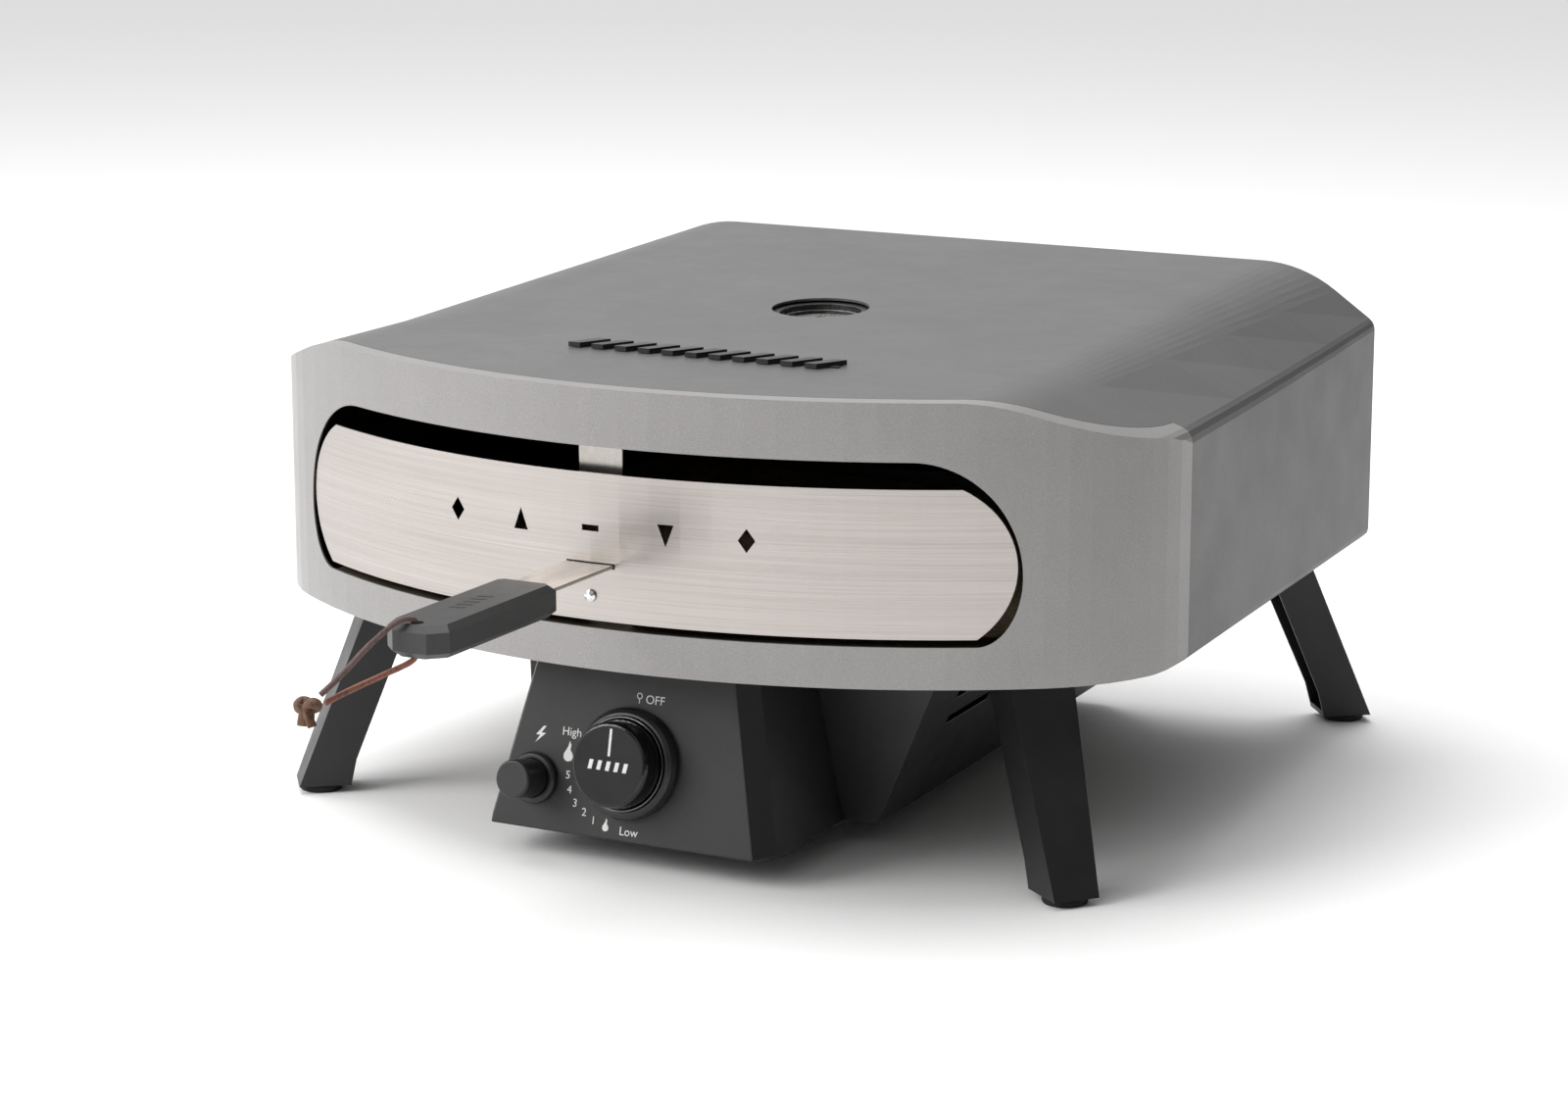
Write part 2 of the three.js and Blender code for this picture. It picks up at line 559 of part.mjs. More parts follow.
function makeGasLine() {
  const seat = panelPoint(KNOB.x, KNOB.along, -SHEET - GAP);
  const inward = panelNormal.clone().negate();
  const at = (depth) => seat.clone().addScaledVector(inward, depth);
  const body = turned([[0, VALVE_RECESS], [KNOB.stem + 3, VALVE_RECESS], [KNOB.stem + 3, 0], [VALVE_RADIUS, 0],
    [VALVE_RADIUS, VALVE_LENGTH], [0, VALVE_LENGTH]], seat, inward, 24);
  put('gas_valve', body, 'brass');
  put('valve_plunger', ring(at(0.5), inward, KNOB.stem + 2.5, KNOB.stem + GAP, 0, 4.5, 20), 'steel');

  const outlet = at(VALVE_LENGTH + GAP);
  const away = inward.clone().multiplyScalar(12);
  const start = outlet.clone().add(v3(-6, 0, 0));
  const feedTop = PAN_Z - 18 - GAP;
  put('gas_pipe_burner', bar([start, start.clone().add(away), v3(-6, -40, 48), v3(-6, 60, 46), v3(-3, burnerY - 60, 50),
    v3(0, burnerY - 6, 72), v3(0, burnerY, 92), v3(0, burnerY, feedTop)], PIPE_RADIUS, 8, 30), 'brass');
  const start2 = outlet.clone().add(v3(6, 0, 0));
  put('gas_pipe_inlet', bar([start2, start2.clone().add(away), v3(10, -40, 42), v3(30, 40, 40), v3(INLET_X, 200, INLET_Z),
    v3(INLET_X, HOUSING_BACK - 14 - GAP, INLET_Z)], PIPE_RADIUS, 8, 28), 'brass');
  const rear = v3(INLET_X, HOUSING_BACK - 14, INLET_Z);
  const backwards = v3(0, 1, 0);
  put('gas_inlet', turned([[0, 0], [6, 0], [6, 14 + GAP], [9, 14 + GAP], [9, 22], [6.5, 22], [6.5, 32], [4, 32],
    [4, 20], [0, 20]], rear, backwards, 20), 'brass');
}

function makeKnob() {
  const seat = panelPoint(KNOB.x, KNOB.along, 0);
  const [outer, inner] = [KNOB_BEZEL_RADIUS, KNOB_TRIM_RADIUS + GAP];
  put('knob_bezel', turned([[inner, GAP], [outer, GAP], [outer, 4.5], [outer - 1.2, 7.5], [outer - 3.2, 9],
    [inner, 9.3], [inner, GAP]], seat, panelNormal, 48), 'black_plastic');
  put('knob_trim_ring', ring(seat, panelNormal, KNOB_TRIM_RADIUS, KNOB.base + 0.8, GAP, 11, 48), 'chrome');
  const { radius: r, base: b, height: h, stem: s } = KNOB;
  const tip = -SHEET - GAP - 5;
  put('control_knob', turned([[0, tip], [s, tip], [s, 6], [b, 6], [b, 12], [r + 0.4, h - 2.4],
    [r - 0.5, h - 0.6], [r - 2, h], [0, h]], seat, panelNormal, 48), 'black_plastic');
}

function makeIgniter() {
  const seat = panelPoint(IGNITER.x, IGNITER.along, 0);
  const inward = panelNormal.clone().negate();
  const { radius: r, bezel: b, height: h } = IGNITER;
  put('igniter_bezel', turned([[r + GAP, GAP], [b, GAP], [b, 3.5], [b - 1.5, 5], [r + GAP, 5], [r + GAP, GAP]],
    seat, panelNormal, 32), 'black_plastic');
  const stemTip = -SHEET - 7;
  put('igniter_button', turned([[0, stemTip], [5, stemTip], [5, 5.5], [r, 5.5], [r, h - 1], [r - 1, h], [0, h]],
    seat, panelNormal, 32), 'black_plastic');
  const under = seat.clone().addScaledVector(inward, SHEET + GAP);
  put('igniter_body', turned([[0, 12], [6, 12], [6, 0], [11, 0], [11, 36], [0, 36]], under, inward, 24),
    'black_plastic');
  const x = IGNITER.x;
  put('spark_electrode', join(
    rod(v3(x, burnerY, PAN_Z - 12), v3(x, burnerY, BURNER_Z - BURNER_RADIUS - 3), 2.5, 12),
    rod(v3(x, burnerY, PAN_Z - 8), v3(x, burnerY, PAN_Z + 10), 4.5, 12)), 'white');
}

// ---------------------------------------------------------------- thermometer
function makeGauge() {
  const [up, seat] = [gaugeUp, gaugeSeat];
  const cupRadius = GAUGE_RADIUS - 3.5;
  const inside = cupRadius - GAUGE_WALL + 2;
  const floor = -GAUGE_DEPTH + 1.5;
  const [brim, under] = [GAUGE_RADIUS + GAUGE_BRIM, -SHEET - GAP - 1];
  put('thermometer_cup', turned([[PROBE_RADIUS + GAP, -GAUGE_DEPTH], [cupRadius, -GAUGE_DEPTH],
    [cupRadius, under - SHEET], [brim, under - SHEET], [brim, under], [inside, under], [inside, floor],
    [PROBE_RADIUS + GAP, floor], [PROBE_RADIUS + GAP, -GAUGE_DEPTH]], seat, up, 32), 'black_plastic');
  const dialTop = floor + GAP + 1;
  put('thermometer_dial', ring(seat, up, inside - GAP, PROBE_RADIUS + GAP, floor + GAP, dialTop, 32), 'white');
  const hand = turned([[0, dialTop + 0.9], [1.8, dialTop + 0.9], [1.8, dialTop + 1.6], [0, dialTop + 1.6]],
    seat, up, 16);
  const tip = solid(new THREE.BoxGeometry(1.2, 20, 0.6).translate(0, -8, 0).rotateZ(rad(35)).rotateX(TOP_SLOPE)
    .translate(...seat.clone().addScaledVector(up, dialTop + 1.25).toArray()));
  put('thermometer_pointer', hand.add(tip), 'red');
  put('thermometer_glass', turned([[0, -8], [inside - GAP, -8], [inside - GAP, -6.5], [0, -6.5]], seat, up, 32),
    'glass');
  const probe = seat.clone().addScaledVector(up, dialTop + 0.4);
  put('thermometer_probe', rod(probe, probe.clone().addScaledVector(up, -46), PROBE_RADIUS, 12), 'steel');
}

// slanted bars on a low strip, a plain ornament on the top
function makeOrnament() {
  const [y, z] = [-51, FRONT.top + GAP];
  const strip = box(-80, 98, y - 1.5, y + 1.5, z, z + 0.8);
  const bars = Array.from({ length: 11 }, (_, i) => prismZ(shapeOf([[-9, -10], [-1, -10], [9, 10], [1, 10]]
    .map(([u, v]) => [-71 + 16 * i + u, y + v])), z, z + 3));
  put('top_ornament', join(strip, ...bars), 'black_plastic');
}

// ---------------------------------------------------------------- door
function doorOutline() {
  const reachTop = Math.sqrt(DOOR_RADIUS ** 2 - (DOOR_TOP - DOOR_END_Z) ** 2);
  const up = Math.atan2(DOOR_TOP - DOOR_END_Z, reachTop);
  const down = Math.asin((DOOR_END_Z - DOOR_BOTTOM) / DOOR_RADIUS);
  const shape = new THREE.Shape();
  shape.absarc(DOOR_END_X, DOOR_END_Z, DOOR_RADIUS, -down, up, false);
  shape.absarc(-DOOR_END_X, DOOR_END_Z, DOOR_RADIUS, Math.PI - up, Math.PI + down, false);
  shape.closePath();
  return shape;
}

// one vent: five forms, each a plain cut-out
function ventShape(i) {
  const x = VENT_X[i];
  const z = VENT_Z;
  const forms = [
    [[-5, 0], [0, -7], [5, 0], [0, 7]],
    [[-5, -6], [5, -6], [0, 7]],
    [[-5.5, -1.8], [5.5, -1.8], [5.5, 1.8], [-5.5, 1.8]],
    [[-5, 6], [0, -7], [5, 6]],
    [[-5, 0], [0, -7], [5, 0], [0, 7]],
  ];
  return shapeOf(forms[i].map(([u, w]) => [x + u, z + w]));
}

const doorFront = DOOR_SET_BACK;
const doorBack = DOOR_SET_BACK + DOOR_SHEET;

function makeDoor() {
  const sheet = prismZ(planBand(doorFront, doorBack), DOOR_BOTTOM - 5, DOOR_TOP + 5);
  const vents = VENT_X.map((_, i) => prismY(ventShape(i), AHEAD, 100));
  const slotHalf = TONGUE_WIDTH / 2 + 0.8;
  const slot = box(-slotHalf, slotHalf, AHEAD, 0, TONGUE_Z - TONGUE_SHEET / 2 - 0.6, TONGUE_Z + TONGUE_SHEET / 2 + 0.6);
  const screwHole = rod(v3(0, AHEAD, SCREW_Z), v3(0, 0, SCREW_Z), 2.5);
  put('door_panel', cut(sheet.intersect(prismY(doorOutline(), AHEAD, 0)), ...vents, slot, screwHole), 'steel');

  const back = planY(0, doorBack) + 1;
  const tongue = box(-TONGUE_WIDTH / 2, TONGUE_WIDTH / 2, gripY('back') - 70, back + TONGUE_SHEET,
    TONGUE_Z - TONGUE_SHEET / 2, TONGUE_Z + TONGUE_SHEET / 2);
  const [t, rear] = [TONGUE_SHEET, back + HOOK_SET_BACK];
  const heel = back + HEEL_SET_BACK;
  const strip = prismX(shapeOf([[heel, STONE_TOP + GAP], [heel + t, STONE_TOP + GAP],
    [heel + t, DOOR_BOTTOM + 4 + t], [back + t, DOOR_BOTTOM + 4 + t], [back + t, DOOR_TOP - 12.8],
    [rear + t, DOOR_TOP - 4.8], [rear + t, HOOK_TOP - t], [rear + 14, HOOK_TOP - t], [rear + 14, HOOK_TOP],
    [rear, HOOK_TOP], [rear, DOOR_TOP - 4], [back, DOOR_TOP - 12], [back, DOOR_BOTTOM + 4],
    [heel, DOOR_BOTTOM + 4]]), -HOOK_WIDTH / 2, HOOK_WIDTH / 2);
  const window = box(-9, 9, AHEAD, 100, VENT_Z - 5, VENT_Z + 5);
  put('door_strap', cut(join(tongue, strip), screwHole, window), 'steel');

  const face = planY(0, doorFront);
  put('door_screw', turned([[0, 0], [1.5, 0], [3.5, 1.2], [3.8, 2.4], [2.2, 2.6], [2.2, 9], [0, 9]],
    v3(0, face - 2.7, SCREW_Z), v3(0, 1, 0), 20), 'chrome');
}
const HOOK_TOP = MOUTH_TOP - 1.2;

const gripY = (key) => FASCIA_FRONT - GRIP[key];

function makeGrip() {
  const w = GRIP.width / 2;
  const edge = 3.6;
  const outline = (inset) => {
    const [a, c] = [w - inset, 9];
    const [y0, y1] = [gripY('front') + inset, gripY('back') - inset];
    return [[-a + c, y0], [a - c, y0], [a, y0 + c], [a, y1 - 3], [a - 3, y1], [-a + 3, y1], [-a, y1 - 3], [-a, y0 + c]];
  };
  const at = (inset, z) => outline(inset).map(([x, y]) => v3(x, y, z));
  const body = loft([at(edge, GRIP.bottom), at(0, GRIP.bottom + edge), at(0, GRIP.top - edge), at(edge, GRIP.top)]);
  const pocket = box(-TONGUE_WIDTH / 2 - GAP, TONGUE_WIDTH / 2 + GAP, gripY('back') - 70 - GAP, gripY('back') + 5,
    TONGUE_Z - TONGUE_SHEET / 2 - GAP, TONGUE_Z + TONGUE_SHEET / 2 + GAP);
  const hole = rod(v3(0, gripY('hole'), GRIP.bottom - 5), v3(0, gripY('hole'), GRIP.top + 5), GRIP.holeRadius);
  put('door_grip', cut(body, pocket, hole), 'grip');
}

// leather thong: two runs that leave the hole of the grip and meet at a knot, measured from the hole in plan
const THONG_UPPER = [
  [0, 0, 190.8], [-0.2, -0.3, 196], [-1.8, -2.5, 199.4], [-6, -8, 199.2], [-10, -13.5, 195.6],
  [-17, -23.5, 186.6], [-24.8, -35.5, 174], [-32, -46.3, 164],
];
const THONG_LOWER = [
  [0, 0, 184.6], [-0.4, -0.4, 179.8], [-3.5, -3.3, 175.4], [-11.8, -11.5, 170.7], [-20.3, -23.5, 166],
  [-25.5, -34.5, 162.8], [-30.4, -44.5, 159.4],
];
const KNOT = [-36, -52.5, 157.5];

function makeThong() {
  const points = (list) => list.map(([x, y, z]) => v3(x, gripY('hole') + y, z));
  put('thong_upper', bar(points(THONG_UPPER), THONG_DIAMETER / 2, 8, 18), 'leather');
  put('thong_lower', bar(points(THONG_LOWER), THONG_DIAMETER / 2, 8, 18), 'leather');
  const knot = new THREE.SphereGeometry(7, 12, 8).scale(1.25, 0.9, 1.15).translate(...points([KNOT])[0].toArray());
  put('thong_knot', solid(knot), 'leather');
}

// ---------------------------------------------------------------- legs
// side +1 is right, end +1 is the back
function makeLeg(name, side, end) {
  const turn = rad(LEG_TURN);
  const out = v3(side * Math.cos(turn), end * Math.sin(turn), 0);
  const along = v3(-side * Math.sin(turn), end * Math.cos(turn), 0);
  const row = end > 0 ? 'back' : 'front';
  const topY = LEG_TOP[row];
  const plateZ = BODY_BOTTOM - GAP;
  const legZ = plateZ - PLATE - GAP;
  const centre = (z) => v3(side * (LEG_TOP.x + LEG_SPLAY_X * (legZ - z)),
    topY + end * LEG_SPLAY_Y[row] * (legZ - z), z);
  const width = (z) => mix(LEG_WIDTH_FOOT, LEG_WIDTH_TOP, (z - PAD_HEIGHT) / (legZ - PAD_HEIGHT));
  const section = (z, wall, reach) => {
    const [w, d] = [width(z) / 2 - wall, LEG_DEPTH / 2];
    const corners = [[d - wall, -w], [d - wall, w], [-d + wall - reach, w], [-d + wall - reach, -w]];
    if (side * end < 0) corners.reverse();
    return corners.map(([o, a]) => centre(z).addScaledVector(out, o).addScaledVector(along, a));
  };
  const outer = loft([section(PAD_HEIGHT, 0, LEG_HEEL), section(22, 0, 0), section(legZ - 16, 0, 0),
    section(legZ, 0, LEG_FLARE)]);
  const open = 2 * LEG_WALL + LEG_FLARE;
  const inner = loft([section(PAD_HEIGHT + 4, LEG_WALL, open), section(legZ + 3, LEG_WALL, open)]);
  const channel = outer.subtract(inner);

  // hinge on the edge that faces the middle of the body
  const reachY = (LEG_WIDTH_TOP / 2) * Math.cos(turn) + (LEG_DEPTH / 2 + LEG_FLARE) * Math.sin(turn);
  const pinY = topY - end * (reachY + EAR + 0.6);
  const pinZ = plateZ - PLATE - HINGE_DROP;
  const pinX = side * LEG_TOP.x;
  const lo = Math.min(pinY, topY);
  const hi = Math.max(pinY, topY);
  const knuckle = join(
    rod(v3(pinX - 7, pinY, pinZ), v3(pinX + 7, pinY, pinZ), EAR, 20),
    box(pinX - 7, pinX + 7, lo, hi, pinZ - EAR, pinZ + 3));
  const bore = rod(v3(pinX - 20, pinY, pinZ), v3(pinX + 20, pinY, pinZ), PIN_RADIUS + GAP, 16);
  put(`leg_${name}`, join(channel, knuckle).subtract(bore), 'black_paint');

  const plate = box(pinX - 22, pinX + 22, lo - 8, hi + 14, plateZ - PLATE, plateZ);
  const earBox = (x0, x1) => join(
    rod(v3(x0, pinY, pinZ), v3(x1, pinY, pinZ), EAR, 20),
    box(x0, x1, pinY - EAR, pinY + EAR, pinZ, plateZ - PLATE / 2));
  const bracket = join(plate, earBox(pinX - 11, pinX - 7.5), earBox(pinX + 7.5, pinX + 11));
  put(`leg_bracket_${name}`, bracket.subtract(bore), 'black_paint');
  put(`leg_pin_${name}`, turned([[0, 0], [PIN_RADIUS + 2, 0], [PIN_RADIUS + 2, 2], [PIN_RADIUS, 2],
    [PIN_RADIUS, 26], [0, 26]], v3(pinX - 13.4, pinY, pinZ), v3(1, 0, 0), 16), 'steel');

  const foot = centre(PAD_HEIGHT);
  put(`leg_pad_${name}`, turned([[0, 0], [PAD_RADIUS - 1, 0], [PAD_RADIUS, 1], [PAD_RADIUS, PAD_HEIGHT - GAP],
    [0, PAD_HEIGHT - GAP]], v3(foot.x, foot.y, 0), v3(0, 0, 1), 24), 'rubber');
  return { name, pin: [pinX, pinY, pinZ] };
}

// ---------------------------------------------------------------- assembly
makeShell();
makeFascia();
makePan();
makeRearPanel();
makeChamber();
makeTray();
makeStone();
makeInsulation();
makeBurner();
makeControlBox();
makeHousing();
makeGasLine();
makeKnob();
makeIgniter();
makeGauge();
makeOrnament();
makeDoor();
makeGrip();
makeThong();
for (const [end, row] of [[-1, 'front'], [1, 'rear']]) {
  for (const [side, hand] of [[-1, 'left'], [1, 'right']]) makeLeg(`${row}_${hand}`, side, end);
}

// origin: bottom centre of the bounding box of everything but the thong and its knot
const bounds = new THREE.Box3();
for (const mesh of model.children) {
  if (!mesh.name.startsWith('thong_')) bounds.expandByObject(mesh, true);
}
model.position.set(-(bounds.min.x + bounds.max.x) / 2, -(bounds.min.y + bounds.max.y) / 2, -bounds.min.z);
model.updateMatrixWorld(true);

export default model;
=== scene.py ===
"""Looks of a gas-fired tabletop pizza oven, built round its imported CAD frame.

Metres, +Z up, front towards -Y.
"""

import json
import math

import bmesh
import bpy
from mathutils import Matrix, Vector, noise


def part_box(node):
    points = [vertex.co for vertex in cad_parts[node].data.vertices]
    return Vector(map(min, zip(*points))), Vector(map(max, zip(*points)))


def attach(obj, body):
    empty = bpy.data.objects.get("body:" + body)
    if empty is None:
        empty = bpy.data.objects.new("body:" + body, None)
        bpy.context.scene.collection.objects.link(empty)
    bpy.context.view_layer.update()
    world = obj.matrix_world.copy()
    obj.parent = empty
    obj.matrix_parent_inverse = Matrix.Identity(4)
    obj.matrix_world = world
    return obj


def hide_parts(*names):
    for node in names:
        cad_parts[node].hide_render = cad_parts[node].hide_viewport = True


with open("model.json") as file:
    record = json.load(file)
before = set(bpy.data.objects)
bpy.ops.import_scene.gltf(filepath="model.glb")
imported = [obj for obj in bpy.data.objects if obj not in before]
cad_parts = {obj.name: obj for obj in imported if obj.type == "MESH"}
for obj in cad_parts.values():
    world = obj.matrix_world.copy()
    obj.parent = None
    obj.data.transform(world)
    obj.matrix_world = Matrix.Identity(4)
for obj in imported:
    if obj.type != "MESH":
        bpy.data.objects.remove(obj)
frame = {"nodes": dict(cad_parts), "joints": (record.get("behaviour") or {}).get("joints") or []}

bpy.context.view_layer.update()

# ---------------------------------------------------------------- driving values
BODY_DEPTH = 0.371               # seam of fascia and shell to the back edge, as in the CAD
THONG_DIAMETER = 0.0032
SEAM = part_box("outer_shell")[1].y - BODY_DEPTH
JOINTS = {j["name"]: j for j in frame["joints"]}


def seam(x, y, z):
    """A point given from the seam between fascia and shell, in the row frame."""
    return Vector((x, y + SEAM, z))


# ---------------------------------------------------------------- camera
CAMERA_AT = seam(1.14916, -2.1262, 0.70716)
CAMERA_DOWN = 12.57              # degrees below the horizon
CAMERA_TURN = 27.7               # degrees, seen from the front right
LENS = 92.68                     # millimetres, with the sensor width below
SENSOR_WIDTH = 36
LENS_SHIFT = 0.0017
SEEN_FAR = 100

camera = bpy.data.objects.new("camera", bpy.data.cameras.new("camera"))
bpy.context.scene.collection.objects.link(camera)
camera.location = CAMERA_AT
camera.rotation_euler = (math.radians(90 - CAMERA_DOWN), 0, math.radians(CAMERA_TURN))
camera.data.lens = LENS
camera.data.sensor_width = SENSOR_WIDTH
camera.data.shift_x = LENS_SHIFT
camera.data.clip_end = SEEN_FAR
bpy.context.scene.camera = camera


# ---------------------------------------------------------------- node material helpers
def hexed(text, alpha=1.0):
    """Linear colour of an sRGB hex string."""
    parts = [int(text[i:i + 2], 16) / 255 for i in (0, 2, 4)]
    return tuple(c / 12.92 if c <= 0.04045 else ((c + 0.055) / 1.055) ** 2.4 for c in parts) + (alpha,)


MIX_COLOURS = (6, 7)             # the inputs of a Mix node that take colours
MIX_RESULT = 2


class Paint:
    """One procedural material: a Principled shader and the few nodes that feed it."""

    def __init__(self, name, **sockets):
        self.material = bpy.data.materials.new(name)
        self.material.use_nodes = True
        self.tree = self.material.node_tree
        self.shader = self.tree.nodes["Principled BSDF"]
        for key, value in sockets.items():
            self.shader.inputs[key.replace("_", " ")].default_value = value
        self.place = self.tree.nodes.new("ShaderNodeTexCoord").outputs["Object"]
        self.height = None

    def node(self, kind, values=None, **settings):
        made = self.tree.nodes.new("ShaderNode" + kind)
        for key, value in settings.items():
            setattr(made, key, value)
        for key, value in (values or {}).items():
            self.set(made, key, value)
        return made

    def set(self, made, key, value):
        """Links an output to an input of the node, or gives the input a plain value."""
        if isinstance(value, bpy.types.NodeSocket):
            self.tree.links.new(value, made.inputs[key])
        else:
            made.inputs[key].default_value = value

    def stretched(self, scale):
        return self.node("Mapping", {"Vector": self.place, "Scale": scale}).outputs["Vector"]

    def noise(self, scale, detail=3.0, rough=0.55, vector=None, distortion=0.0):
        return self.node("TexNoise", {"Vector": vector or self.place, "Scale": scale, "Detail": detail,
                                      "Roughness": rough, "Distortion": distortion}).outputs["Fac"]

    def ramp(self, fac, low, high, dark, light):
        made = self.node("ValToRGB", {"Fac": fac})
        ends = made.color_ramp.elements
        ends[0].position, ends[0].color = low, dark
        ends[1].position, ends[1].color = high, light
        return made.outputs["Color"]

    def span(self, fac, low, high, to_low, to_high):
        return self.node("MapRange", {"Value": fac, "From Min": low, "From Max": high,
                                      "To Min": to_low, "To Max": to_high}).outputs["Result"]

    def mix(self, fac, a, b, blend="MIX"):
        made = self.node("Mix", {"Factor": fac}, data_type="RGBA", blend_type=blend)
        for index, value in zip(MIX_COLOURS, (a, b)):
            self.set(made, index, value)
        return made.outputs[MIX_RESULT]

    def sum(self, a, b):
        made = self.node("Math", operation="ADD")
        for index, value in enumerate((a, b)):
            self.set(made, index, value)
        return made.outputs[0]

    def feed(self, key, value):
        self.tree.links.new(value, self.shader.inputs[key])

    def relief(self, fac, distance, strength=1.0):
        values = {"Height": fac, "Distance": distance, "Strength": strength}
        if self.height is not None:
            values["Normal"] = self.height
        self.height = self.node("Bump", values).outputs["Normal"]
        self.feed("Normal", self.height)


def coated(name, dark, light, rough=(0.4, 0.5), grain=1400, depth=0.00002, metallic=0.0, patch=9, **sockets):
    """Powder coat or moulded plastic: slow colour change, fine grain, uneven gloss."""
    paint = Paint(name, Metallic=metallic, **sockets)
    slow = paint.noise(patch, 4, 0.6)
    fine = paint.noise(grain, 2, 0.5)
    colour = paint.ramp(slow, 0.3, 0.7, hexed(dark), hexed(light))
    fleck = paint.ramp(fine, 0.35, 0.7, (0.82, 0.82, 0.82, 1), (1.1, 1.1, 1.1, 1))
    paint.feed("Base Color", paint.mix(1.0, colour, fleck, "MULTIPLY"))
    smear = paint.noise(patch * 3.1, 5, 0.65)
    paint.feed("Roughness", paint.span(smear, 0.3, 0.7, *rough))
    paint.relief(fine, depth)
    return paint.material


def brushed(name, dark, light, along=(5, 5, 900), rough=(0.24, 0.36), aniso=0.6, depth=0.000006):
    """Brushed metal: streaks along one direction in colour, gloss and relief."""
    paint = Paint(name, Metallic=1.0, Anisotropic=aniso)
    streak = paint.noise(1.0, 6, 0.7, paint.stretched(along))
    broad = paint.noise(1.0, 3, 0.5, paint.stretched((along[0] * 0.5, along[1] * 0.5, along[2] * 0.12)))
    slow = paint.noise(7, 3, 0.5)
    fine = paint.ramp(streak, 0.3, 0.72, hexed(dark), hexed(light))
    paint.feed("Base Color", paint.mix(0.25, fine, paint.ramp(broad, 0.3, 0.7, hexed(dark), hexed(light))))
    paint.feed("Roughness", paint.span(paint.sum(streak, slow), 0.7, 1.3, *rough))
    paint.relief(streak, depth)
    paint.feed("Tangent", paint.node("Tangent", direction_type="RADIAL", axis="Z").outputs["Tangent"])
    return paint.material


def speckled(name, base, spot, scale, rough, depth):
    """Stone or fibre: coloured grains and a rough relief."""
    paint = Paint(name)
    cells = paint.node("TexVoronoi", {"Vector": paint.place, "Scale": scale}).outputs["Distance"]
    slow = paint.noise(scale * 0.05, 5, 0.6)
    colour = paint.ramp(paint.sum(paint.noise(scale * 0.6, 4, 0.7), slow), 0.8, 1.25, hexed(spot), hexed(base))
    paint.feed("Base Color", colour)
    paint.feed("Roughness", paint.span(slow, 0.3, 0.7, rough - 0.08, rough))
    paint.relief(cells, depth)
    return paint.material


def burnt(name, dark, light, rough=(0.35, 0.6)):
    """Steel that heat has tinted: brown and blue-grey blotches."""
    paint = Paint(name, Metallic=0.75)
    blotch = paint.noise(11, 6, 0.62, distortion=0.6)
    colour = paint.ramp(blotch, 0.32, 0.72, hexed(dark), hexed(light))
    tint = paint.ramp(paint.noise(4, 2, 0.5), 0.35, 0.65, hexed("6b5a45"), hexed("5a5c62"))
    paint.feed("Base Color", paint.mix(0.18, colour, tint))
    paint.feed("Roughness", paint.span(paint.noise(60, 4, 0.6), 0.3, 0.7, *rough))
    paint.relief(paint.noise(500, 2, 0.5), 0.00001)
    return paint.material


def leather(name, dark, light):
    """Waxed leather lace: long fibres, creases and paler worn ridges."""
    paint = Paint(name)
    fibre = paint.noise(1.0, 6, 0.7, paint.stretched((900, 260, 420)))
    crease = paint.node("TexVoronoi", {"Vector": paint.place, "Scale": 700.0}).outputs["Distance"]
    slow = paint.noise(90, 4, 0.6)
    colour = paint.ramp(paint.sum(fibre, slow), 0.75, 1.25, hexed(dark), hexed(light))
    paint.feed("Base Color", colour)
    paint.feed("Roughness", paint.span(slow, 0.3, 0.7, 0.55, 0.75))
    paint.relief(crease, 0.0002, 0.7)
    paint.relief(fibre, 0.0003, 0.8)
    return paint.material


def clear_glass():
    paint = Paint("gauge_glass", Transmission_Weight=1.0, IOR=1.45, Metallic=0.0)
    paint.feed("Roughness", paint.span(paint.noise(60, 3, 0.5), 0.3, 0.7, 0.01, 0.04))
    paint.feed("Base Color", paint.ramp(paint.noise(12, 2, 0.5), 0.3, 0.7, (0.95, 0.97, 0.97, 1), (1, 1, 1, 1)))
    return paint.material


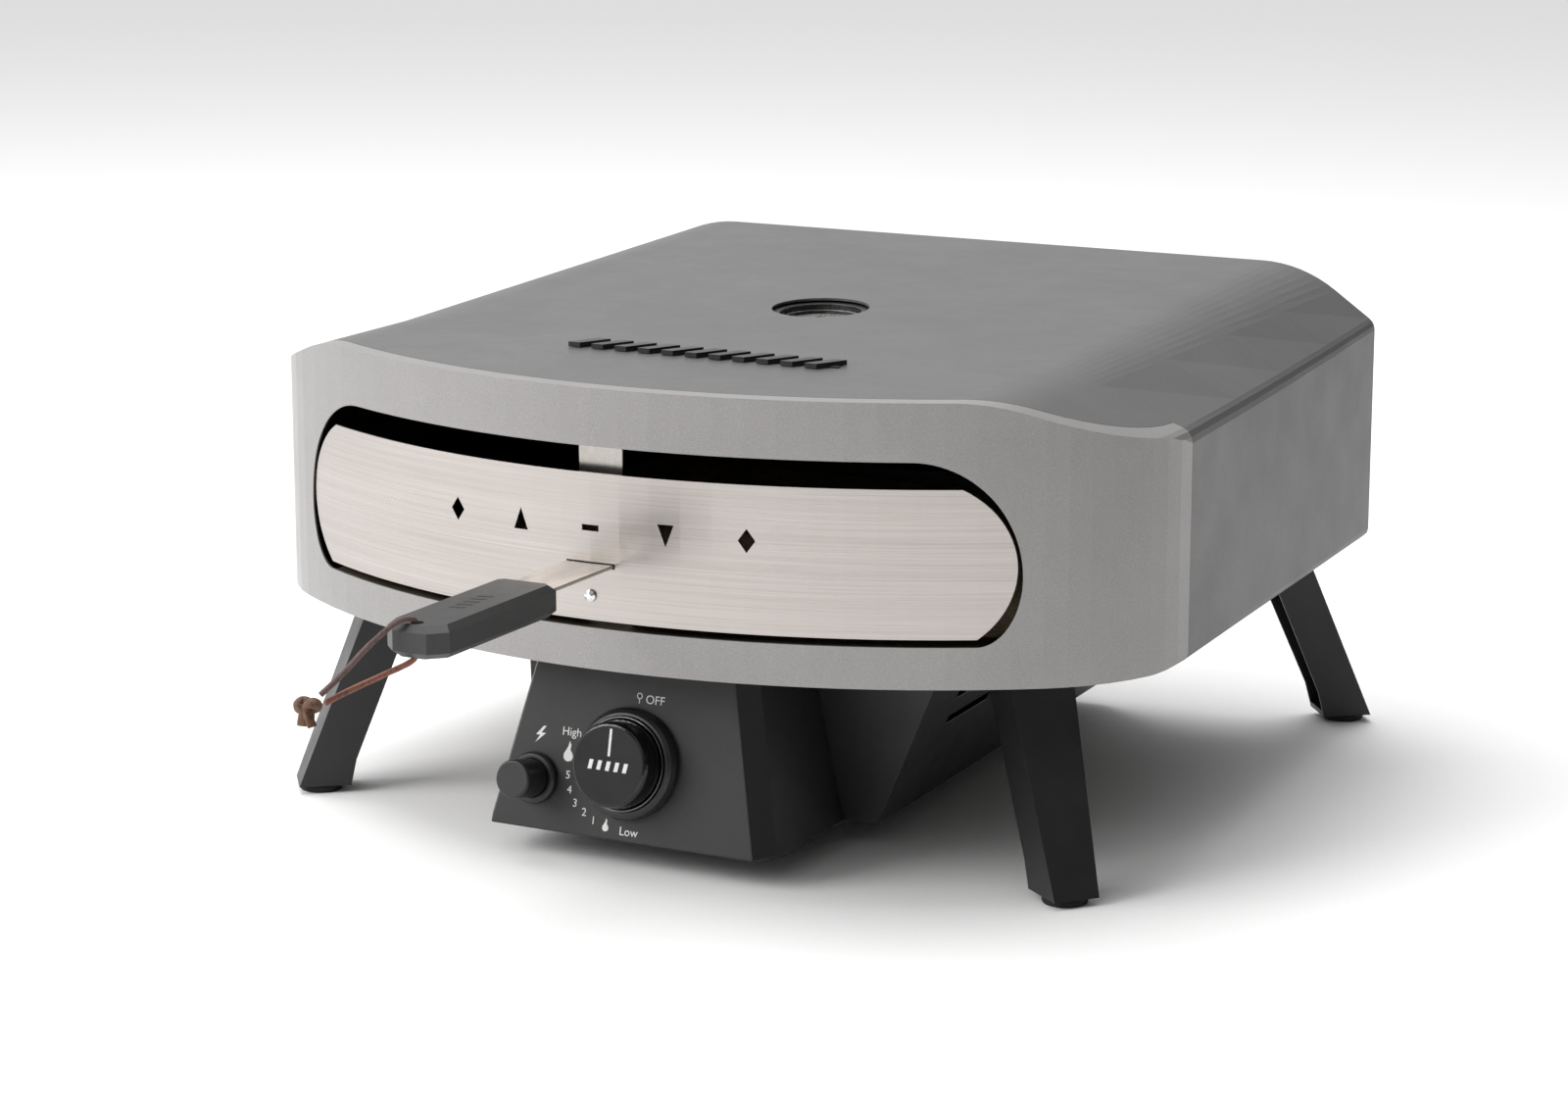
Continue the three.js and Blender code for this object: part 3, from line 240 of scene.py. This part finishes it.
# Two tones and a range of roughness, then the scale of the grain and its depth in metres.
# A brushed metal has the scales of its streaks before the roughness.
MATERIALS = {
    "shell": coated("shell_paint", "595858", "5e5d5d", (0.38, 0.46), 1500, 0.000025, metallic=0.15, patch=7),
    "fascia": coated("fascia_paint", "92908f", "989695", (0.3, 0.36), 1900, 0.000015, metallic=0.4),
    "black": coated("black_powder_coat", "181818", "1e1e1e", (0.4, 0.52), 1300, 0.00003),
    "box": coated("panel_powder_coat", "1e1e1e", "232323", (0.45, 0.56), 1300, 0.00003),
    "gloss": coated("glossy_plastic", "0c0c0d", "121213", (0.14, 0.24), 2500, 0.000004),
    "satin": coated("satin_plastic", "1c1c1d", "252526", (0.34, 0.44), 1800, 0.00001),
    "grip": coated("grip_plastic", "2c2c2c", "333333", (0.42, 0.52), 1100, 0.00003),
    "rubber": coated("foot_rubber", "0e0e0f", "161617", (0.7, 0.85), 700, 0.00004),
    "door": brushed("door_steel", "a29c98", "c1bbb7"),
    "strap": brushed("strap_steel", "9a9691", "bab6b1", (900, 5, 900), (0.22, 0.34)),
    "steel": brushed("bright_steel", "a8a8a8", "d0d0d0", (300, 300, 5), (0.2, 0.35), 0.3),
    "chrome": brushed("chrome", "c8c8ca", "e6e6e8", (40, 40, 40), (0.06, 0.12), 0.0, 0.000001),
    "brass": brushed("brass", "9c7a36", "c79c50", (200, 200, 6), (0.25, 0.4), 0.2),
    "burnt": burnt("heated_steel", "2b2724", "5a544d"),
    "sill": burnt("sill_steel", "7b7260", "a1957c", (0.3, 0.45)),
    "trim": brushed("dark_chrome", "606062", "808082", (40, 40, 40), (0.12, 0.2), 0.0, 0.000001),
    "stone": speckled("cordierite", "cdbb98", "a58f6a", 420, 0.96, 0.00025),
    "fibre": speckled("ceramic_fibre", "ece8df", "cfc8b8", 900, 1.0, 0.0006),
    "dial": coated("dial_enamel", "c9c9c5", "d4d4d0", (0.35, 0.45), 1500, 0.00001),
    "red": coated("pointer_enamel", "a3221b", "b52a22", (0.3, 0.4), 1500, 0.00001),
    "print": coated("printed_ink", "d6d6d4", "e0e0de", (0.45, 0.55), 2500, 0.000005),
    "ink": coated("dark_ink", "141414", "1b1b1b", (0.45, 0.55), 2500, 0.000005),
    "ceramic": coated("electrode_ceramic", "d8d6ce", "e4e2da", (0.4, 0.5), 1200, 0.00001),
    "leather": leather("dark_leather", "2e2424", "5e4a47"),
    "leather_red": leather("red_leather", "45261d", "80503e"),
    "leather_knot": leather("knot_leather", "2b1e15", "634633"),
    "glass": clear_glass(),
}


# ---------------------------------------------------------------- mesh helpers
def piece(name, mesh, body, material):
    made = bpy.data.objects.new(name, mesh)
    bpy.context.scene.collection.objects.link(made)
    mesh.materials.append(MATERIALS[material])
    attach(made, body)
    return made


def mesh_of(name, build, smooth=True):
    """A mesh filled by build(bm)."""
    bm = bmesh.new()
    build(bm)
    bmesh.ops.recalc_face_normals(bm, faces=bm.faces)
    mesh = bpy.data.meshes.new(name)
    bm.to_mesh(mesh)
    bm.free()
    for polygon in mesh.polygons:
        polygon.use_smooth = smooth
    return mesh


def catmull(points, steps):
    """Smooth line through the points, with `steps` spans for each pair."""
    ends = [points[0] * 2 - points[1], *points, points[-1] * 2 - points[-2]]
    line = []
    for i in range(1, len(ends) - 2):
        a, b, c, d = ends[i - 1:i + 3]
        for k in range(steps):
            t = k / steps
            line.append(0.5 * (2 * b + (c - a) * t + (2 * a - 5 * b + 4 * c - d) * t * t
                               + (3 * b - a - 3 * c + d) * t ** 3))
    return line + [points[-1]]


TUBE_UP = Vector((0.3, 0.2, 1))  # turns the first ring of a sweep
SOFT_CORNER = 3                  # power of the oval: 2 would be an ellipse
BUMP_ALONG, BUMP_AROUND = 0.35, 0.9


def tube(bm, line, width, height, sides=12, twist=0.0, rough=0.0, seed=1.0):
    """Sweeps an oval with softened corners along the line. Its frame turns by `twist` radians on the way."""
    rings = []
    side = None
    for i, point in enumerate(line):
        ahead = (line[min(i + 1, len(line) - 1)] - line[max(i - 1, 0)]).normalized()
        side = ahead.cross(TUBE_UP) if side is None else side - ahead * side.dot(ahead)
        side = side.normalized()
        turn = Matrix.Rotation(twist * i / len(line), 3, ahead)
        u, v = turn @ side, turn @ ahead.cross(side)
        ring = []
        for k in range(sides):
            angle = 2 * math.pi * k / sides
            cos, sin = math.cos(angle), math.sin(angle)
            reach = (abs(cos) ** SOFT_CORNER + abs(sin) ** SOFT_CORNER) ** (-1 / SOFT_CORNER)
            swell = 1 + rough * noise.noise(Vector((i * BUMP_ALONG, k * BUMP_AROUND, seed)))
            ring.append(bm.verts.new(point + (u * cos * width + v * sin * height) * 0.5 * reach * swell))
        rings.append(ring)
    for a, b in zip(rings, rings[1:]):
        for k in range(sides):
            bm.faces.new((a[k], a[(k + 1) % sides], b[(k + 1) % sides], b[k]))
    bm.faces.new(rings[0])
    bm.faces.new(list(reversed(rings[-1])))


# ---------------------------------------------------------------- leather thong
THONG_UPPER = [
    (0, -0.3565, 0.1908), (-0.0002, -0.3568, 0.196), (-0.0018, -0.359, 0.1994), (-0.006, -0.3645, 0.1992),
    (-0.01, -0.37, 0.1956), (-0.017, -0.38, 0.1866), (-0.0248, -0.392, 0.174), (-0.032, -0.4028, 0.164),
]
THONG_LOWER = [
    (0, -0.3565, 0.1846), (-0.0004, -0.3569, 0.1798), (-0.0035, -0.3598, 0.1754), (-0.0118, -0.368, 0.1707),
    (-0.0203, -0.38, 0.166), (-0.0255, -0.391, 0.1628), (-0.0304, -0.401, 0.1594),
]
THONG_STEPS = 9
THONG_FLAT = 0.94                # thickness of the lace as a share of its width
KNOT_AT = seam(-0.036, -0.409, 0.1575)
KNOT_WIDE, KNOT_DEEP, KNOT_HIGH = 0.0026, 0.0022, 0.0027
KNOT_STEPS = 60
KNOT_SIDES = 10
KNOT_LACE = (0.0066, 0.0046)     # width and thickness where the lace is pulled tight
TAIL_LACE = (0.0058, 0.0024)     # and at its cut ends


def make_knot():
    """Overhand knot of the same lace, with two short cut ends."""
    def build(bm):
        loop = []
        for i in range(KNOT_STEPS):
            t = 2 * math.pi * i / KNOT_STEPS
            loop.append(KNOT_AT + Vector((
                KNOT_WIDE * (math.sin(t) + 1.35 * math.sin(2 * t)),
                KNOT_DEEP * math.sin(3 * t),
                KNOT_HIGH * (math.cos(t) - 1.3 * math.cos(2 * t)))))
        tube(bm, loop, *KNOT_LACE, KNOT_SIDES, twist=3.0, rough=0.14, seed=4)
        for sideways, seed in ((0.0035, 7.0), (-0.0005, 9.0)):
            tail = catmull([KNOT_AT + Vector((0, -0.001, 0)), KNOT_AT + Vector((sideways, -0.004, -0.004)),
                            KNOT_AT + Vector((sideways * 1.6, -0.0045, -0.0085))], 6)
            tube(bm, tail, *TAIL_LACE, KNOT_SIDES, rough=0.08, seed=seed)
    return piece("thong_knot_leather", mesh_of("thong_knot_leather", build), "door", "leather_knot")


knot = make_knot()
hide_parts("thong_knot")
for name, route, seed in (("thong_upper", THONG_UPPER, 1.0), ("thong_lower", THONG_LOWER, 2.0)):
    line = catmull([seam(*p) for p in route], THONG_STEPS)
    lace = piece(name + "_leather", mesh_of(name + "_leather", lambda bm: tube(
        bm, line, THONG_DIAMETER, THONG_DIAMETER * THONG_FLAT, 12, rough=0.07, seed=seed, twist=1.5)),
        "door", "leather" if name == "thong_upper" else "leather_red")
    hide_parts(name)


# ---------------------------------------------------------------- CAD nodes: materials and soft edges
FINISHES = {
    "shell": "outer_shell rear_panel",
    "fascia": "front_fascia",
    "door": "door_panel",
    "strap": "door_strap",
    "chrome": "door_screw",
    "trim": "knob_trim_ring",
    "sill": "floor_tray",
    "grip": "door_grip",
    "burnt": "cooking_chamber base_pan flame_guard burner_bracket_left burner_bracket_right",
    "stone": "pizza_stone",
    "fibre": "roof_insulation",
    "steel": "burner_tube valve_plunger thermometer_probe",
    "box": "control_box",
    "black": "burner_housing",
    "brass": "gas_valve gas_pipe_burner gas_pipe_inlet gas_inlet",
    "gloss": "control_knob",
    "satin": "knob_bezel igniter_bezel igniter_button igniter_body thermometer_cup top_ornament",
    "ceramic": "spark_electrode",
    "dial": "thermometer_dial",
    "red": "thermometer_pointer",
    "glass": "thermometer_glass",
}
for row in ("front", "rear"):
    for hand in ("left", "right"):
        FINISHES["black"] += f" leg_{row}_{hand} leg_bracket_{row}_{hand}"
        FINISHES["steel"] += f" leg_pin_{row}_{hand}"
        FINISHES["rubber"] = FINISHES.get("rubber", "") + f" leg_pad_{row}_{hand}"

ROUNDED = {
    "front_fascia": 0.0009, "outer_shell": 0.0005, "door_panel": 0.0004, "door_strap": 0.0004,
    "door_grip": 0.0007, "control_box": 0.0011, "burner_housing": 0.0008, "control_knob": 0.0005,
    "knob_bezel": 0.0005, "igniter_button": 0.0005, "igniter_bezel": 0.0004, "thermometer_cup": 0.0003,
    "top_ornament": 0.0004, "knob_trim_ring": 0.0002, "pizza_stone": 0.0008,
}
LEG_ROUND = 0.0009
WELD_WITHIN = 0.00001
SHARP_ANGLE = 32                 # degrees: edges that turn more are rounded


def soften(made, width):
    """Welds the split corners, rounds the sharp edges and shades the rest smooth."""
    weld = made.modifiers.new("weld", "WELD")
    weld.merge_threshold = WELD_WITHIN
    if width:
        bevel = made.modifiers.new("round", "BEVEL")
        bevel.width = width
        bevel.segments = 2
        bevel.limit_method = "ANGLE"
        bevel.angle_limit = math.radians(SHARP_ANGLE)
        bevel.harden_normals = True
    made.modifiers.new("normals", "WEIGHTED_NORMAL").keep_sharp = True


for finish, names in FINISHES.items():
    for name in names.split():
        made = frame["nodes"][name]
        made.material_slots[0].material = MATERIALS[finish]
        width = ROUNDED.get(name, LEG_ROUND if name.startswith("leg_") and "pin" not in name else 0)
        soften(made, width)


# ---------------------------------------------------------------- control panel prints
RIGHT = Vector((1, 0, 0))
KNOB_AT = Vector(JOINTS["knob_turn"]["pos_m"])
PANEL_OUT = Vector(JOINTS["knob_turn"]["axis"]).normalized()
PANEL_UP = PANEL_OUT.cross(RIGHT).normalized()
KNOB_FACE = 0.026                # from the knob's joint to its face
INK = 0.00012                    # thickness of a print
INK_GAP = 0.00003                # kept under a print, so that no two faces share a plane


def on_panel(x, up, out=0.0):
    """A point on the control panel, from the knob's centre."""
    return KNOB_AT + RIGHT * x + PANEL_UP * up + PANEL_OUT * out


def flat_mesh(name, outlines, at, right, up, out):
    """Thin raised shapes: each outline is a list of (x, y) in metres from `at`."""
    def build(bm):
        for outline in outlines:
            low = [bm.verts.new(at + right * x + up * y) for x, y in outline]
            high = [bm.verts.new(at + right * x + up * y + out * INK) for x, y in outline]
            bm.faces.new(list(reversed(low)))
            bm.faces.new(high)
            for i in range(len(low)):
                j = (i + 1) % len(low)
                bm.faces.new((low[i], low[j], high[j], high[i]))
    return mesh_of(name, build, smooth=False)


def lettering(name, text, size, at, right, up, out):
    """Plain text as a mesh, centred on `at`."""
    curve = bpy.data.curves.new(name, "FONT")
    curve.body, curve.size, curve.align_x, curve.align_y = text, size, "CENTER", "CENTER"
    curve.extrude, curve.resolution_u = INK / 2, 4
    made = bpy.data.objects.new(name, curve)
    bpy.context.scene.collection.objects.link(made)
    bpy.context.view_layer.update()
    mesh = bpy.data.meshes.new_from_object(made)
    bpy.data.objects.remove(made)
    place = Matrix((right, up, out)).transposed().to_4x4()
    place.translation = at + out * (INK / 2 + INK_GAP)
    mesh.transform(place)
    mesh.name = name
    mesh.materials.clear()
    return mesh


# Key, text, height of the letters, and place across and up from the knob.
LABELS = (("off", "OFF", 0.0074, 0.0132, 0.0388), ("high", "High", 0.0072, -0.0408, 0.0137),
          ("low", "Low", 0.0072, 0.0036, -0.0405), ("five", "5", 0.0068, -0.0409, -0.012),
          ("four", "4", 0.0068, -0.0389, -0.0206), ("three", "3", 0.0068, -0.0343, -0.028),
          ("two", "2", 0.0068, -0.0275, -0.0326), ("one", "1", 0.0068, -0.0208, -0.0367))
for key, text, size, x, up in LABELS:
    piece("print_" + key, lettering("print_" + key, text, size, on_panel(x, up), RIGHT, PANEL_UP, PANEL_OUT),
          "oven", "print")


def flame(scale, x, y):
    """Outline of a small flame with one tongue."""
    points = [(0.0, -5.0), (2.2, -4.2), (3.0, -2.2), (2.2, -0.2), (1.0, 1.4), (1.3, 4.0), (0.2, 6.0),
              (-0.5, 3.0), (-1.6, 1.0), (-2.8, -1.0), (-2.8, -3.2), (-1.6, -4.6)]
    return [(x + u * scale, y + v * scale) for u, v in points]


BULB_SIDES = 20
BULB_INNER = 0.72                # hole of the ring as a share of its radius
STEM_HALF, STEM_FOOT = 0.15, 2.3


def bulb(x, y, r):
    """Ring with a stem: the sign for the lighter."""
    def rim(i, reach):
        turn = 2 * math.pi * (i % BULB_SIDES) / BULB_SIDES
        return (x + reach * math.cos(turn), y + reach * math.sin(turn))

    inner = BULB_INNER * r
    rings = [[rim(i, r), rim(i + 1, r), rim(i + 1, inner), rim(i, inner)] for i in range(BULB_SIDES)]
    half, foot = STEM_HALF * r, STEM_FOOT * r
    stem = [(x - half, y - foot), (x + half, y - foot), (x + half, y - r), (x - half, y - r)]
    return rings + [stem]


SPARK = [(0.0016, 0.0052), (-0.0034, -0.0004), (-0.0004, -0.0004), (-0.0034, -0.0052), (0.0034, 0.0010),
         (0.0003, 0.0010), (0.0034, 0.0052)]
ICONS = (
    ("flame_high", [flame(0.00112, -0.0419, 0.0016)]),
    ("flame_low", [flame(0.00072, -0.0122, -0.0383)]),
    ("spark", [[(x - 0.0620, y + 0.0100) for x, y in SPARK]]),
    ("lighter", bulb(0.0026, 0.0405, 0.0019)),
)
for key, outlines in ICONS:
    piece("print_" + key, flat_mesh("print_" + key, outlines, on_panel(0, 0, INK_GAP), RIGHT, PANEL_UP, PANEL_OUT),
          "oven", "print")

# knob: indicator line and five plain slanted bars
indicator = [(-0.0008, 0.0052), (0.0008, 0.0052), (0.0008, 0.0214), (-0.0008, 0.0214)]
knob_bars = [[(x - 0.0018, -0.0034), (x + 0.0008, -0.0034), (x + 0.0018, 0.0022), (x - 0.0008, 0.0022)]
             for x in (-0.0116, -0.0058, 0.0, 0.0058, 0.0116)]
piece("knob_marks", flat_mesh("knob_marks", [indicator, *knob_bars], on_panel(0, 0, KNOB_FACE + INK_GAP),
                              RIGHT, PANEL_UP, PANEL_OUT), "knob", "print")

# grip: five plain slanted bars on the top
GRIP_MARKS_BACK = 0.004          # from the middle of the grip towards the oven
GRIP_LOW, GRIP_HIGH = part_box("door_grip")
grip_bars = [[(-0.0042, y - 0.0012), (-0.0042, y + 0.0016), (0.0042, y + 0.0036), (0.0042, y + 0.0008)]
             for y in (-0.018, -0.0108, -0.0036, 0.0036, 0.0108)]
grip_top = Vector((0.0, (GRIP_LOW.y + GRIP_HIGH.y) / 2 + GRIP_MARKS_BACK, GRIP_HIGH.z + INK_GAP))
piece("grip_marks", flat_mesh("grip_marks", grip_bars, grip_top, RIGHT, Vector((0, 1, 0)), Vector((0, 0, 1))),
      "door", "ink")

# ---------------------------------------------------------------- thermometer scale
GAUGE_AT = Vector(JOINTS["thermometer_turn"]["pos_m"])
GAUGE_UP = -Vector(JOINTS["thermometer_turn"]["axis"]).normalized()
GAUGE_FORE = GAUGE_UP.cross(RIGHT).normalized()
DIAL_TOP = -0.0102               # face of the dial, from the pointer's joint
DIAL_RADIUS = 0.0237
SCALE_START = 225                # degrees, the first mark
SCALE_STEP = 9
SCALE_MARKS = 31
LONG_EVERY = 6                   # these marks are long and have a number
NUMBER_STEP = 100
NUMBER_SIZE = 0.0042


def tick(angle, inner, outer, half):
    """Outline of one mark of the scale."""
    u = (math.cos(angle), math.sin(angle))
    v = (-u[1], u[0])
    return [(u[0] * r + v[0] * s, u[1] * r + v[1] * s) for r, s in
            ((inner, -half), (outer, -half), (outer, half), (inner, half))]


def make_scale():
    at = GAUGE_AT + GAUGE_UP * DIAL_TOP
    marks = []
    for i in range(SCALE_MARKS):
        inner, half = (0.80, 0.00018) if i % LONG_EVERY else (0.72, 0.0004)
        angle = math.radians(SCALE_START - i * SCALE_STEP)
        marks.append(tick(angle, DIAL_RADIUS * inner, DIAL_RADIUS * 0.92, half))
    piece("dial_ticks", flat_mesh("dial_ticks", marks, at, RIGHT, GAUGE_FORE, GAUGE_UP), "oven", "ink")
    for i in range(SCALE_MARKS // LONG_EVERY + 1):
        angle = math.radians(SCALE_START - i * LONG_EVERY * SCALE_STEP)
        spot = at + (RIGHT * math.cos(angle) + GAUGE_FORE * math.sin(angle)) * DIAL_RADIUS * 0.56
        name = f"dial_number_{i}"
        number = lettering(name, str(i * NUMBER_STEP), NUMBER_SIZE, spot, RIGHT, GAUGE_FORE, GAUGE_UP)
        piece(name, number, "oven", "ink")


make_scale()

# ---------------------------------------------------------------- stage and light
def flat_stage(name, size, at, material):
    def build(bm):
        corners = [bm.verts.new(Vector((x * size, y * size, 0)) + at)
                   for x, y in ((-1, -1), (1, -1), (1, 1), (-1, 1))]
        bm.faces.new(corners)
    made = bpy.data.objects.new(name, mesh_of(name, build, smooth=False))
    bpy.context.scene.collection.objects.link(made)
    made.data.materials.append(material)


def floor_paint():
    paint = Paint("floor_paint", Specular_IOR_Level=0.1)
    fine = paint.noise(400, 2, 0.5)
    paint.feed("Base Color", paint.ramp(fine, 0.3, 0.7, hexed("fcfcfc"), hexed("ffffff")))
    paint.feed("Roughness", paint.span(fine, 0.3, 0.7, 0.88, 0.94))
    return paint.material


flat_stage("floor", 12, Vector((0, 0, 0)), floor_paint())


def area_light(name, at, target, size, power, colour=(1, 1, 1)):
    light = bpy.data.lights.new(name, "AREA")
    light.shape, light.size, light.size_y = "RECTANGLE", *size
    light.energy, light.color = power, colour
    made = bpy.data.objects.new(name, light)
    bpy.context.scene.collection.objects.link(made)
    made.location = at
    made.rotation_euler = (Vector(target) - Vector(at)).to_track_quat("-Z", "Y").to_euler()


area_light("key", (-2.4, -2.6, 2.2), (0, -0.1, 0.2), (2.6, 2.0), 100, (1, 0.99, 0.98))
area_light("top", (-0.6, 0.5, 3.0), (0, 0.1, 0.2), (2.6, 2.4), 66)

SKY_AIM = (-0.82, -0.05, 0.57)   # towards the bright side of the world
SKY_RANGE = {"From Min": -0.35, "From Max": 0.6, "To Min": 0.05, "To Max": 0.95}

world = bpy.data.worlds.new("studio")
bpy.context.scene.world = world
world.use_nodes = True
sky = world.node_tree.nodes["Background"]
links, nodes = world.node_tree.links, world.node_tree.nodes
sight = nodes.new("ShaderNodeTexCoord")
aim = nodes.new("ShaderNodeVectorMath")
aim.operation = "DOT_PRODUCT"
aim.inputs[1].default_value = SKY_AIM
shade = nodes.new("ShaderNodeMapRange")
for key, value in SKY_RANGE.items():
    shade.inputs[key].default_value = value
links.new(sight.outputs["Generated"], aim.inputs[0])
links.new(aim.outputs["Value"], shade.inputs["Value"])
links.new(shade.outputs["Result"], sky.inputs["Strength"])
sky.inputs["Color"].default_value = (1, 1, 1, 1)
bpy.context.scene.view_settings.view_transform = "Standard"

# ---------------------------------------------------------------- last update of the view layer
bpy.context.view_layer.update()
